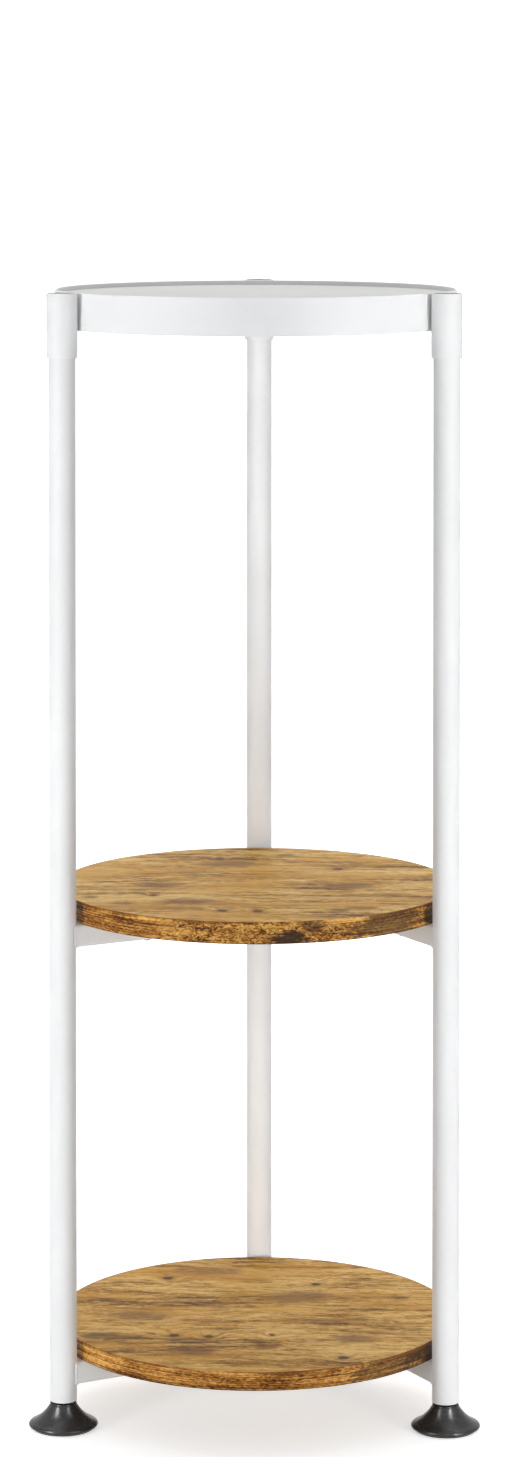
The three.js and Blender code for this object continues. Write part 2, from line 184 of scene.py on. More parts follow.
class StandFinishes(bpy.types.PropertyGroup):
    """Colours of the stand"""

    coat: colour_property("White coat", "Powder coat of the legs, bars and tray", "#ececec")
    # Painted shade: this pale grey stands for the tray floor's white coat in shade.
    floor_coat: colour_property("Tray floor", "Powder coat of the tray's floor", "#c9c9c7")
    wood_light: colour_property("Light grain", "Lightest grain of the boards", "#ecc67e")
    wood_gold: colour_property("Golden grain", "Warm zones of the boards", "#d09a44")
    wood_mid: colour_property("Middle grain", "Main colour of the boards", "#c89a50")
    wood_brown: colour_property("Brown grain", "Darker grain of the boards", "#96692f")
    wood_dark: colour_property("Dark grain", "Dark streaks and knots of the boards", "#4e3a26")
    wood_grey: colour_property("Weathered grain", "Smudges on the boards", "#8c694a")
    edge_light: colour_property("Light edge", "Lightest streaks of the edge bands", "#e0b15e")
    edge_mid: colour_property("Middle edge", "Main colour of the edge bands", "#b27a38")
    edge_brown: colour_property("Brown edge", "Darker streaks of the edge bands", "#7c4c1e")
    # Dark streaks, and the painted shade along the edge bands' bottom edge.
    edge_dark_and_shade: colour_property("Dark edge", "Dark streaks and corners of the edge bands", "#2e1b0c")
    # Stains on the edge bands, and the painted shade beside the legs.
    edge_stain_and_shade: colour_property("Burnt edge", "Patches on the edge bands", "#382a20")
    plastic: colour_property("Black plastic", "Feet", "#272728")
    scuffs: colour_property("Scuffs", "Faint scuffs on the black plastic", "#38383a")
    nylon: colour_property("Black nylon", "Inserts in the tubes' ends", "#0b0b0c")
    zinc: colour_property("Zinc", "Plated screws, studs and nuts", "#c3c6ca")


class StudioSettings(bpy.types.PropertyGroup):
    """Lamps and surround"""

    side_power: power_property("Side lamps", "Power of each of the four side lamps", 0.21)
    side_spread: angle_property("Side spread", "Spread of the side lamps' grids", 21)
    front_power: power_property("Front lamp", "Power of the lamp behind the camera", 8)
    back_power: power_property("Back lamp", "Power of the lamp behind the stand", 3)
    top_power: power_property("Top lamp", "Power of the lamp above", 27)
    strip_power: power_property("Strips", "Power of each of the two strips that only reflections show", 3.8)
    strip_spread: angle_property("Strip spread", "Spread of the strips' grids", 40)
    surround: share_property("Surround", "Strength of the light from all round", 0.26)
    sky: share_property("Sky", "Strength that the surround gains towards the zenith", 0.4)


# ---------------------------------------------------------------- nodes as expressions


def pick(sockets, key):
    """The socket at an index, or the first one with that identifier or name."""
    if isinstance(key, int):
        return sockets[key]
    return next(socket for socket in sockets if key in (socket.identifier, socket.name))


def operator_and_reflected(operation):
    """A two-sided operator that adds a Math node, and its reflected form."""

    def plain(wire, other):
        return wire.net.maths(operation, wire, other)

    def reflected(wire, other):
        return wire.net.maths(operation, other, wire)

    return plain, reflected


class Wire:
    """An output socket. Sums on it add Math nodes, and | picks another output of its node."""

    __add__, __radd__ = operator_and_reflected("ADD")
    __sub__, __rsub__ = operator_and_reflected("SUBTRACT")
    __mul__, __rmul__ = operator_and_reflected("MULTIPLY")
    __truediv__, __rtruediv__ = operator_and_reflected("DIVIDE")

    def __init__(self, net, socket):
        self.net = net
        self.socket = socket

    def __or__(self, key):
        return Wire(self.net, pick(self.socket.node.outputs, key))

    def __abs__(self):
        return self.net.maths("ABSOLUTE", self)


class Net:
    """A node tree that is written as expressions."""

    def __init__(self, tree):
        self.tree = tree

    def node(self, kind, settings=None, inputs=None, output=0):
        """Adds a node, sets it up, then fills or links its sockets. Gives one of its outputs."""
        made = self.tree.nodes.new(kind)
        for name, value in (settings or {}).items():
            if name == "stops":
                self.set_stops(made.color_ramp, value)
            else:
                setattr(made, name, value)
        for key, value in (inputs or {}).items():
            socket = pick(made.inputs, key)
            if isinstance(value, Wire):
                self.tree.links.new(value.socket, socket)
            else:
                socket.default_value = value
        return Wire(self, pick(made.outputs, output)) if made.outputs else made

    def set_stops(self, ramp, stops):
        """Gives a colour ramp its stops. A new ramp has two."""
        for _ in range(len(stops) - len(ramp.elements)):
            ramp.elements.new(0.5)
        for element, (place, colour) in zip(ramp.elements, stops):
            element.position = place
            element.color = (*colour, 1)

    def maths(self, operation, *terms):
        return self.node("ShaderNodeMath", {"operation": operation}, dict(enumerate(terms)))

    def vector(self, operation, *terms, output=0):
        return self.node("ShaderNodeVectorMath", {"operation": operation}, dict(enumerate(terms)), output)

    def parts(self, vector):
        """X, Y and Z of a vector."""
        split = self.node("ShaderNodeSeparateXYZ", None, {0: vector})
        return split | "X", split | "Y", split | "Z"

    def joined(self, *parts):
        """A vector from its X, Y and Z."""
        return self.node("ShaderNodeCombineXYZ", None, dict(enumerate(parts)))


class Finish(Net):
    """A material on a Principled shader, with short names for the nodes used most."""

    def __init__(self, name, **constants):
        self.material = bpy.data.materials.new(name)
        self.material.use_nodes = True
        super().__init__(self.material.node_tree)
        self.shader = self.tree.nodes["Principled BSDF"]
        for label, value in constants.items():
            socket = label.replace("_", " ").title().replace("Ior", "IOR")
            self.shader.inputs[socket].default_value = value

    def feed(self, socket, wire):
        self.tree.links.new(wire.socket, self.shader.inputs[socket])

    def place(self, scale, shift=(0, 0, 0)):
        """Object coordinates in metres, moved and then scaled along each axis."""
        where = self.node("ShaderNodeTexCoord", output="Object")
        return self.vector("MULTIPLY", self.vector("ADD", where, shift), scale)

    def noise(self, where, detail=4.0, roughness=0.5, distortion=0.0):
        shape = {"Scale": 1, "Detail": detail, "Roughness": roughness, "Distortion": distortion}
        return self.node("ShaderNodeTexNoise", None, {"Vector": where, **shape}, "Fac")

    def step(self, value, low, high):
        """0 below low, 1 above high, smooth between; turned round where low is the higher."""
        limits = {"Value": value, "From Min": low, "From Max": high}
        return self.node("ShaderNodeMapRange", {"interpolation_type": "SMOOTHSTEP"}, limits)

    def mix(self, factor, first, second):
        colours = {"Factor_Float": factor}
        for key, colour in (("A_Color", first), ("B_Color", second)):
            colours[key] = colour if isinstance(colour, Wire) else (*colour, 1)
        return self.node("ShaderNodeMix", {"data_type": "RGBA"}, colours, "Result_Color")

    def ramp(self, value, *stops):
        """Colour of a value on a scale of (place, colour) stops."""
        return self.node("ShaderNodeValToRGB", {"stops": stops}, {0: value}, "Color")

    def bump(self, height, distance, strength):
        inputs = {"Height": height, "Distance": distance, "Strength": strength}
        return self.node("ShaderNodeBump", None, inputs)

    def nearest(self, where, spots):
        """Distance to the nearest spot, as a share of that spot's reach. A spot is (x, y, reach)."""
        least = None
        for x, y, reach in spots:
            share = self.vector("DISTANCE", where, (x, y, 0), output="Value") / reach
            least = share if least is None else self.maths("MINIMUM", least, share)
        return least


# ---------------------------------------------------------------- geometry node trees


class Maker(Net):
    """A geometry node tree with named inputs, and the pieces that it makes."""

    KINDS = dict(length="Float", count="Int", vector="Vector", object="Object", material="Material")

    def __init__(self, name, **inputs):
        group = bpy.data.node_groups.new(name, "GeometryNodeTree")
        super().__init__(group)
        group.interface.new_socket("Geometry", in_out="INPUT", socket_type="NodeSocketGeometry")
        group.interface.new_socket("Geometry", in_out="OUTPUT", socket_type="NodeSocketGeometry")
        for label, kind in {**inputs, "material": "material"}.items():
            socket_type = f"NodeSocket{self.KINDS[kind]}"
            group.interface.new_socket(self.title(label), in_out="INPUT", socket_type=socket_type)
        self.start = self.node("NodeGroupInput")
        self.identifiers = {s.name: s.identifier for s in group.interface.items_tree if s.in_out == "INPUT"}

    @staticmethod
    def title(label):
        return label.replace("_", " ").capitalize()

    def given(self, label):
        return self.start | self.title(label)

    def moved(self, mesh, places):
        """A mesh with its points at new places."""
        return self.node("GeometryNodeSetPosition", None, {"Geometry": mesh, "Position": places})

    def end(self, mesh, merge=True):
        """Realizes instances, merges doubles, sets the material and closes the tree."""
        real = self.node("GeometryNodeRealizeInstances", None, {"Geometry": mesh})
        if merge:
            doubles = {"Geometry": real, "Distance": MERGE_DISTANCE}
            real = self.node("GeometryNodeMergeByDistance", None, doubles)
        finish = {"Geometry": real, "Material": self.given("material")}
        self.node("NodeGroupOutput", None, {0: self.node("GeometryNodeSetMaterial", None, finish)})

    def make(self, name, seed_mesh, **values):
        """Runs the tree on a mesh, and gives a new object with the plain mesh that comes out."""
        carrier = add_object(f"{name}_carrier", seed_mesh)
        modifier = carrier.modifiers.new("Make", "NODES")
        modifier.node_group = self.tree
        for label, value in values.items():
            modifier[self.identifiers[self.title(label)]] = value
        made = evaluated_mesh(carrier)
        bpy.data.objects.remove(carrier)
        bpy.data.meshes.remove(seed_mesh)
        return add_object(name, made)


def turning_maker():
    """Turns an outline, with radius along X and height along Z, round an upright line."""
    maker = Maker("Turned piece", steps="count", centre="vector")
    outline = maker.start | 0
    count = maker.node("GeometryNodeAttributeDomainSize", None, {0: outline}, "Point Count")
    size = {"Size X": 1.0, "Size Y": 1.0, "Vertices X": count, "Vertices Y": maker.given("steps") + 1}
    grid = maker.node("GeometryNodeMeshGrid", None, size)
    place = maker.node("GeometryNodeInputPosition")
    x, y, _ = maker.parts(place)
    index = maker.maths("ROUND", (x + 0.5) * (count - 1))
    angle = (y + 0.5) * math.tau
    sample = {"Geometry": outline, "Value": place, "Index": index}
    corner = maker.node("GeometryNodeSampleIndex", {"data_type": "FLOAT_VECTOR"}, sample)
    radius, _, height = maker.parts(corner)
    turned = maker.joined(radius * maker.maths("COSINE", angle), radius * maker.maths("SINE", angle), height)
    maker.end(maker.moved(grid, maker.vector("ADD", turned, maker.given("centre"))))
    return maker


def thread_maker():
    """A threaded rod up from the origin, which narrows to its point over the point length."""
    lengths = dict.fromkeys(("radius", "depth", "pitch", "length", "point"), "length")
    maker = Maker("Threaded rod", **lengths, steps="count")
    radius, depth, pitch, length, point = (maker.given(label) for label in lengths)
    rings_a_turn = 8
    size = {
        "Vertices": maker.given("steps"),
        "Side Segments": length / pitch * rings_a_turn,
        "Radius": radius,
        "Depth": length,
    }
    rod = maker.node("GeometryNodeMeshCylinder", {"fill_type": "TRIANGLE_FAN"}, size)
    x, y, z = maker.parts(maker.node("GeometryNodeInputPosition"))
    height = z + length / 2
    phase = height / pitch - maker.maths("ARCTAN2", y, x) / math.tau
    groove = abs(maker.maths("FRACT", phase) * 2 - 1)
    point_share = (length - height) / maker.maths("MAXIMUM", point, MERGE_DISTANCE)
    share = (1 - groove * depth / radius) * maker.maths("MINIMUM", point_share, 1)
    maker.end(maker.moved(rod, maker.joined(x * share, y * share, height)))
    return maker


def fastener_maker():
    """A fastener at each point of a mesh, along the point's direction and turned by chance about it."""
    maker = Maker("Placed fasteners", fastener="object", seed="count")
    way = maker.node("GeometryNodeInputNamedAttribute", {"data_type": "FLOAT_VECTOR"}, {"Name": "direction"})
    aimed = maker.node("FunctionNodeAlignRotationToVector", {"axis": "Z"}, {"Vector": way})
    limits = {"Min_001": 0.0, "Max_001": math.tau, "Seed": maker.given("seed")}
    chance = maker.node("FunctionNodeRandomValue", {"data_type": "FLOAT"}, limits, "Value_001")
    spin = maker.node("FunctionNodeAxisAngleToRotation", None, {"Axis": (0, 0, 1), "Angle": chance})
    turns = {"Rotation": aimed, "Rotate By": spin}
    turned = maker.node("FunctionNodeRotateRotation", {"rotation_space": "LOCAL"}, turns)
    shape = maker.node("GeometryNodeObjectInfo", None, {"Object": maker.given("fastener")}, "Geometry")
    seats = {"Points": maker.start | 0, "Instance": shape, "Rotation": turned}
    maker.end(maker.node("GeometryNodeInstanceOnPoints", None, seats), merge=False)
    return maker


def weld_maker():
    """A rippled bead along each line of a mesh."""
    maker = Maker("Weld bead", radius="length", ripple="length")
    ripple = maker.given("ripple")
    steps_a_ripple = 5
    swell = 0.14
    line = maker.node("GeometryNodeMeshToCurve", None, {"Mesh": maker.start | 0})
    spacing = {"Curve": line, "Length": ripple / steps_a_ripple}
    fine = maker.node("GeometryNodeResampleCurve", {"mode": "LENGTH"}, spacing)
    along = maker.node("GeometryNodeSplineParameter", output="Length")
    size = 1 + swell * maker.maths("SINE", along / ripple * math.tau)
    bead = maker.node("GeometryNodeSetCurveRadius", None, {"Curve": fine, "Radius": size})
    round_section = {"Resolution": 12, "Radius": maker.given("radius")}
    section = maker.node("GeometryNodeCurvePrimitiveCircle", None, round_section)
    skin = {"Curve": bead, "Profile Curve": section, "Scale": 1.0, "Fill Caps": True}
    maker.end(maker.node("GeometryNodeCurveToMesh", None, skin))
    return maker


# ---------------------------------------------------------------- mesh helpers


def add_object(name, data):
    made = bpy.data.objects.new(name, data)
    bpy.context.scene.collection.objects.link(made)
    return made


def evaluated_mesh(piece):
    """A plain mesh of what a piece's modifiers make of it."""
    depsgraph = bpy.context.evaluated_depsgraph_get()
    return bpy.data.meshes.new_from_object(piece.evaluated_get(depsgraph), depsgraph=depsgraph)


def mesh_from(name, points, edges=(), faces=()):
    mesh = bpy.data.meshes.new(name)
    mesh.from_pydata(points, edges, faces)
    return mesh


def arc(radius, height, size, start, end, steps=6):
    """Corners of an arc in an outline, from one angle to another in degrees."""
    angles = [math.radians(start + (end - start) * step / steps) for step in range(steps + 1)]
    return [(radius + size * math.cos(angle), height + size * math.sin(angle)) for angle in angles]


def tube_outline(outer, inner, low, high, rounding):
    """Closed outline of a tube whose four edges are rounded."""
    return [
        *arc(outer - rounding, low + rounding, rounding, -90, 0, 3),
        *arc(outer - rounding, high - rounding, rounding, 0, 90, 3),
        *arc(inner + rounding, high - rounding, rounding, 90, 180, 3),
        *arc(inner + rounding, low + rounding, rounding, 180, 270, 3),
        (outer - rounding, low),
    ]


def outline_mesh(outline):
    """An outline of radii and heights as a mesh of edges."""
    points = [(radius, 0, height) for radius, height in outline]
    return mesh_from("outline", points, [(n, n + 1) for n in range(len(points) - 1)])


def ring(reach, count, height):
    """Ring of points. Its distance from the axis at each angle is reach(angle)."""
    angles = [math.tau * n / count for n in range(count)]
    return [(reach(angle) * math.cos(angle), reach(angle) * math.sin(angle), height) for angle in angles]


def round_ring(radius, count, height):
    return ring(lambda angle: radius, count, height)


def loft(rings, wrap=False):
    """Skins rings that hold the same number of points each. With wrap the last ring joins the first."""
    count = len(rings[0])
    points = [point for points in rings for point in points]
    faces = []
    for lower in range(len(rings) if wrap else len(rings) - 1):
        base, above = lower * count, (lower + 1) % len(rings) * count
        for corner in range(count):
            following = (corner + 1) % count
            faces.append([base + corner, base + following, above + following, above + corner])
    return mesh_from("loft", points, (), faces)


def join_meshes(*meshes):
    """One mesh that holds the faces and edges of several."""
    joined = bmesh.new()
    for mesh in meshes:
        joined.from_mesh(mesh)
        bpy.data.meshes.remove(mesh)
    result = bpy.data.meshes.new("joined")
    joined.to_mesh(result)
    joined.free()
    return result


def add_shell(piece, mesh):
    """Puts another mesh's faces into a piece's own mesh."""
    work = bmesh.new()
    work.from_mesh(piece.data)
    work.from_mesh(mesh)
    work.to_mesh(piece.data)
    work.free()
    bpy.data.meshes.remove(mesh)


def clean(mesh):
    """Merges doubles, drops slivers and turns every shell's faces outwards."""
    work = bmesh.new()
    work.from_mesh(mesh)
    bmesh.ops.remove_doubles(work, verts=work.verts, dist=MERGE_DISTANCE)
    bmesh.ops.dissolve_degenerate(work, edges=work.edges, dist=MERGE_DISTANCE)
    bmesh.ops.recalc_face_normals(work, faces=work.faces)
    work.to_mesh(mesh)
    work.free()


def drill(piece, holes):
    """Cuts round holes through a piece. A hole is (start, end, radius)."""
    drills = []
    for start, end, radius in holes:
        way = Vector(end) - Vector(start)
        aim = Matrix.Translation(start) @ way.to_track_quat("Z", "Y").to_matrix().to_4x4()
        sections = ((0, 0), (radius, 0), (radius, way.length), (0, way.length))
        rings = [round_ring(size, HOLE_STEPS, height) for size, height in sections]
        drills.append(loft([[aim @ Vector(point) for point in points] for points in rings]))
    cutter_mesh = join_meshes(*drills)
    clean(cutter_mesh)
    cutter = add_object("cutter", cutter_mesh)
    modifier = piece.modifiers.new("Holes", "BOOLEAN")
    modifier.object = cutter
    modifier.operation = "DIFFERENCE"
    modifier.solver = "EXACT"
    whole = piece.data
    piece.data = evaluated_mesh(piece)
    piece.modifiers.clear()
    bpy.data.objects.remove(cutter)
    for mesh in (whole, cutter_mesh):
        bpy.data.meshes.remove(mesh)


def finish_piece(piece, material, body, slot, *nodes):
    """Shades a piece, paints it, and seats it in the frame in place of its CAD nodes."""
    clean(piece.data)
    piece.data.name = piece.name
    piece.data.materials.clear()
    piece.data.materials.append(material)
    for polygon in piece.data.polygons:
        polygon.material_index = 0
    piece.data.shade_smooth()
    piece.data.set_sharp_from_angle(angle=SMOOTH_ANGLE)
    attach(piece, body)
    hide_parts(*nodes)


def dress_node(node, material):
    """Keeps a CAD node's own shape and gives it a finish."""
    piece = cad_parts[node]
    piece.data.materials.clear()
    piece.data.materials.append(material)


# ---------------------------------------------------------------- finishes


def scaled(colour, share):
    return tuple(channel * share for channel in colour)


def powder_coat(name, colour, roughness, bores=()):
    """Satin powder coat with fine orange peel. Inside the bores, each (x, y, radius), it is thinner and has
    painted shade.
    """
    finish = Finish(name, ior=1.5, specular_ior_level=0.25)
    peel = finish.noise(finish.place((650, 650, 650)), detail=2, roughness=0.4)
    cloud = finish.noise(finish.place((14, 14, 9)), detail=3)
    coat = finish.mix(finish.step(cloud, 0.35, 0.7), colour, scaled(colour, 0.965))
    if bores:
        # Painted shade: inside the bores the coat is half as bright, for the shade in the recess above each
        # cap.
        inside = finish.step(finish.nearest(finish.place((1, 1, 0)), bores), 1.03, 1.0)
        coat = finish.mix(inside, coat, scaled(colour, 0.5))
    finish.feed("Base Color", coat)
    finish.feed("Roughness", roughness + 0.08 * (cloud - 0.5) + 0.05 * (peel - 0.5))
    finish.feed("Normal", finish.bump(peel, 0.02 * MM, 0.5))
    return finish.material


def board_finish(name, colours, shift, knots, smudges, stains):
    """Rustic printed wood: straight grain from left to right, with knots, brown smudges and dark stains."""
    finish = Finish(name, ior=1.4, specular_ior_level=0.05)
    bend = finish.noise(finish.place((5, 11, 5), shift), detail=2)
    from_knot = finish.nearest(finish.place((1, 1, 0)), knots)
    around = finish.step(from_knot, 5.5, 0.5)

    def grain(along, across, **settings):
        """Noise drawn out along the grain, whose lines bend a little and swell round the knots."""
        aside = finish.joined(0, (0.035 * bend + 0.008 * around) * across, 0)
        place = finish.place((along, across, across), shift)
        return finish.noise(finish.vector("ADD", place, aside), **settings)

    zones = grain(9, 26, detail=3, roughness=0.5)
    streaks = grain(20, 140, detail=4, roughness=0.6)
    fibres = grain(120, 460, detail=4, roughness=0.7)
    pores = grain(260, 1500, detail=2, roughness=0.6)
    cloud = grain(38, 75, detail=4, roughness=0.6)
    warmth = grain(11, 40, detail=3, roughness=0.55)
    shade = 0.52 + 0.95 * (zones - 0.5) + 1.2 * (streaks - 0.5) + 1.4 * (fibres - 0.5) + 0.45 * (pores - 0.5)
    dark, brown, mid, light = colours.wood_dark, colours.wood_brown, colours.wood_mid, colours.wood_light
    colour = finish.ramp(shade, (0.14, dark), (0.32, brown), (0.5, mid), (0.76, light))
    colour = finish.mix(0.6 * finish.step(warmth, 0.47, 0.62), colour, colours.wood_gold)
    ragged = 1.6 * (cloud - 0.5) + 1.3 * (streaks - 0.5) + 1.1 * (fibres - 0.5)
    drawn_out = 1.7
    long_place = finish.place((1, drawn_out, 0))
    from_smudge, from_stain = (
        finish.nearest(long_place, [(x, drawn_out * y, reach) for x, y, reach in spots])
        for spots in (smudges, stains)
    )
    smudge = finish.step(from_smudge - ragged, 1, 0.4)
    stain = finish.step(from_stain - 1.3 * ragged, 0.85, 0.4) * finish.step(fibres, 0.2, 0.55)
    colour = finish.mix((0.3 + 0.65 * finish.step(fibres, 0.38, 0.6)) * smudge, colour, colours.wood_grey)
    colour = finish.mix(0.75 * stain, colour, dark)
    colour = finish.mix(0.35 * finish.step(fibres + 0.5 * (streaks - 0.5), 0.36, 0.28), colour, brown)
    colour = finish.mix(0.45 * finish.step(from_knot + 2.5 * (fibres - 0.5), 3.2, 1.2), colour, brown)
    knot = finish.step(from_knot + 1.4 * (fibres - 0.5), 1.5, 0.85)
    finish.feed("Base Color", finish.mix(0.9 * knot, colour, dark))
    finish.feed("Roughness", 0.52 + 0.16 * (fibres - 0.5) + 0.08 * smudge)
    finish.feed("Normal", finish.bump(fibres + streaks + 0.5 * pores - 0.6 * knot, 0.08 * MM, 0.5))
    return finish.material


def edge_finish(name, colours, heights, shift, burl_reach, burl_share, stains_and_leg_shade):
    """Edge band: streaks round the board, burl in its front, a ragged brown top edge, painted shade along the
    bottom edge, stains, and painted shade beside the legs.
    """
    finish = Finish(name, ior=1.4, specular_ior_level=0.1)
    low, high = heights
    streaks = finish.noise(finish.place((13, 13, 640), shift), detail=4, roughness=0.62, distortion=0.1)
    lines = finish.noise(finish.place((20, 20, 1500), shift), detail=2, roughness=0.5)
    flecks = finish.noise(finish.place((300, 300, 950), shift), detail=3, roughness=0.6)
    burl = finish.noise(finish.place((240, 240, 480), shift), detail=3, roughness=0.6, distortion=1.5)
    cloud = finish.noise(finish.place((34, 34, 110), shift), detail=4, roughness=0.6)
    x, y, height = finish.parts(finish.place((1, 1, 1)))
    in_front = finish.step(abs(x) + 0.08 * (cloud - 0.5), burl_reach, 0.6 * burl_reach)
    burled = burl_share * in_front * finish.step(y, -0.06, -0.1)
    lined = 0.85 * (streaks - 0.5) + 0.8 * (lines - 0.5) + 0.75 * (flecks - 0.5)
    knotted = 1.5 * (burl - 0.5) + 0.6 * (flecks - 0.5) + 0.5 * (streaks - 0.5)
    shade = 0.5 + lined * (1 - burled) + knotted * burled + 0.6 * (cloud - 0.5)
    dark, brown, mid, light = colours.edge_dark_and_shade, colours.edge_brown, colours.edge_mid, colours.edge_light
    colour = finish.ramp(shade, (0.25, dark), (0.42, brown), (0.55, mid), (0.76, light))
    colour = finish.mix(0.6 * finish.step(lines, 0.42, 0.34) * (1 - 0.7 * burled), colour, dark)
    # Stains, and painted shade where the band passes a leg.
    for place, reach, strength in stains_and_leg_shade:
        offset = finish.place((1, 1, 2), tuple(-part for part in place))
        share = finish.vector("LENGTH", offset, output="Value") / reach
        ragged = share + 1.5 * (cloud - 0.5) + 0.9 * (flecks - 0.5) + 0.7 * (streaks - 0.5)
        colour = finish.mix(strength * finish.step(ragged, 1.0, 0.55), colour, colours.edge_stain_and_shade)
    from_top = (high - height) / MM + 9 * (cloud - 0.5) + 3 * (flecks - 0.5)
    colour = finish.mix(0.7 * finish.step(from_top, 1.4, 0.2), colour, brown)
    # Painted shade: a dark line along the band's bottom edge.
    shade_from_bottom = (height - low) / MM + 2.5 * (flecks - 0.5)
    colour = finish.mix(0.7 * finish.step(shade_from_bottom, 1.1, 0.4), colour, dark)
    finish.feed("Base Color", colour)
    finish.feed("Roughness", 0.5 + 0.2 * (streaks - 0.5))
    finish.feed("Normal", finish.bump(lines + streaks, 0.08 * MM, 0.5))
    return finish.material


def moulded_plastic(name, colour, scuffs, roughness, specular):
    """Black moulded plastic with a fine spark-eroded grain and faint scuffs."""
    finish = Finish(name, ior=1.5, specular_ior_level=specular)
    grain = finish.noise(finish.place((1500, 1500, 1500)), detail=2)
    scuff = finish.noise(finish.place((60, 60, 210)), detail=5, roughness=0.7)
    finish.feed("Base Color", finish.mix(0.35 * finish.step(scuff, 0.55, 0.8), colour, scuffs))
    finish.feed("Roughness", roughness + 0.2 * (scuff - 0.4))
    finish.feed("Normal", finish.bump(grain, 0.01 * MM, 0.35))
    return finish.material


def zinc_plate(name, colour):
    """Bright zinc plate with a faint mottle."""
    finish = Finish(name, metallic=1.0)
    mottle = finish.noise(finish.place((420, 420, 420)), detail=4, roughness=0.6)
    finish.feed("Base Color", finish.mix(finish.step(mottle, 0.35, 0.75), colour, scaled(colour, 0.72)))
    finish.feed("Roughness", 0.26 + 0.22 * mottle)
    finish.feed("Normal", finish.bump(mottle, 0.01 * MM, 0.4))
    return finish.material


# ---------------------------------------------------------------- bars


def rounded_square(size, corner, flat_steps=6, corner_steps=5):
    """Corners of a square with rounded corners, the same number for any size."""
    flat = size / 2 - corner
    points = []
    for quarter in range(4):
        turn = Matrix.Rotation(quarter * math.pi / 2, 2)
        side = [(size / 2, -flat + 2 * flat * step / flat_steps) for step in range(flat_steps)]
        points += [turn @ Vector(point) for point in side + arc(flat, flat, corner, 0, 90, corner_steps)[:-1]]
    return points


def bar_section(start, along, place, side, middle, section, reach):
    """A bar's section at a place along it, bent with side 1 or -1 round a leg, or flat with side 0."""
    across = Vector((-along.y, along.x))
    points = []
    for y, z in section:
        plan = start + along * (place + side * (math.sqrt(reach**2 - y**2) if side else 0)) + across * y
        points.append((plan.x, plan.y, middle + z))
    return points


def bar_mesh(start, along, length, size, corner, middle, coped_end):
    """Square tube from a leg's axis. Its start, and its end where coped_end is set, are cut round a leg."""
    cope = LEG_RADIUS + GAP / 2
    outer = rounded_square(size, corner)
    inner = rounded_square(size - 2 * TUBE_WALL, corner / 2)
    end_side = -1 if coped_end else 0
    ends = ((0, 1, outer), (length, end_side, outer), (length, end_side, inner), (0, 1, inner))
    rings = [bar_section(start, along, place, side, middle, section, cope) for place, side, section in ends]
    return loft(rings, wrap=True)


def saddle_path(start, along, side, size, corner, middle):
    """Closed line where a bar's skin meets the round of a leg, as the mesh of its edges."""
    points = bar_section(start, along, 0, side, middle, rounded_square(size, corner), LEG_RADIUS + GAP)
    return mesh_from("saddle", points, [(n, (n + 1) % len(points)) for n in range(len(points))])


# ---------------------------------------------------------------- fasteners


def hexagon_ring(width, height):
    """Ring of points on a hexagon that measures width across its flats."""

    def reach(angle):
        return width / 2 / math.cos(angle % (math.pi / 3) - math.pi / 6)

    return ring(reach, HEAD_STEPS, height)


def cross_ring(length, width, height):
    """Ring of points on a four-armed cross."""

    def reach(angle):
        swing = abs((angle + math.pi / 4) % (math.pi / 2) - math.pi / 4)
        tip = length / 2 / math.cos(swing)
        flank = width / 2 / max(math.sin(swing), math.tan(math.radians(1)))
        return min(tip, max(flank, width / 2 * math.sqrt(2)))

    return ring(reach, HEAD_STEPS, height)


def screw_head(radius, height, neck, recess):
    """Head below z = 0 with a domed crown. recess(height) gives a ring of the recess in it."""
    crown = [math.radians(degrees) for degrees in (8, 22, 38, 52)]
    sections = [(0, 0), (neck * 0.5, 0), (radius * 0.97, 0)]
    sections += [(radius * math.cos(angle), -height * math.sin(angle)) for angle in crown]
    floor = -height * 0.3
    rings = [round_ring(size, HEAD_STEPS, level) for size, level in sections]
    rings += [recess(level) for level in (-height * 0.97, -height * 0.9, floor)]
    return loft([*rings, round_ring(0, HEAD_STEPS, floor)])


# ---------------------------------------------------------------- operators

made_once = {}


def kept(key, make, *values, **settings):
    """What make gives, made once and then shared."""
    if key not in made_once:
        made_once[key] = make(*values, **settings)
    return made_once[key]


class StandOperator(bpy.types.Operator):
    """Base of the stand's operators"""

    bl_options = {"REGISTER", "UNDO"}

    @property
    def shapes(self):
        return bpy.context.scene.stand_shapes

    @property
    def finishes(self):
        return bpy.context.scene.stand_finishes

    def kept_finish(self, make, name, colour, **settings):
        return kept(name, make, name, tuple(colour), **settings)

    def coat(self):
        return self.kept_finish(powder_coat, "white_coat", self.finishes.coat, roughness=COAT_ROUGHNESS)

    def zinc(self):
        return self.kept_finish(zinc_plate, "zinc_plate", self.finishes.zinc)

    def turn(self, name, outline, centre, steps=TUBE_STEPS):
        """A turned piece from its outline of radii and heights."""
        maker = kept("turning", turning_maker)
        return maker.make(name, outline_mesh(outline), steps=steps, centre=(centre.x, centre.y, 0.0))

    def threaded_rod(self, name, **sizes):
        """A threaded rod up from the origin."""
        return kept("thread", thread_maker).make(name, mesh_from("rod", []), **sizes)


def tray_screw_hole(side):
    """A tray screw's hole, from inside the band into the leg's middle."""
    height = middle_height(f"tray_screw_{side}")
    clear_of_band = 4 * MM
    start = AXIS + outward(side) * (inner_radius("tray_band", AXIS) - clear_of_band)
    return (*start, height), (*LEG_PLACES[side], height), TRAY_SCREW["shank"] + GAP


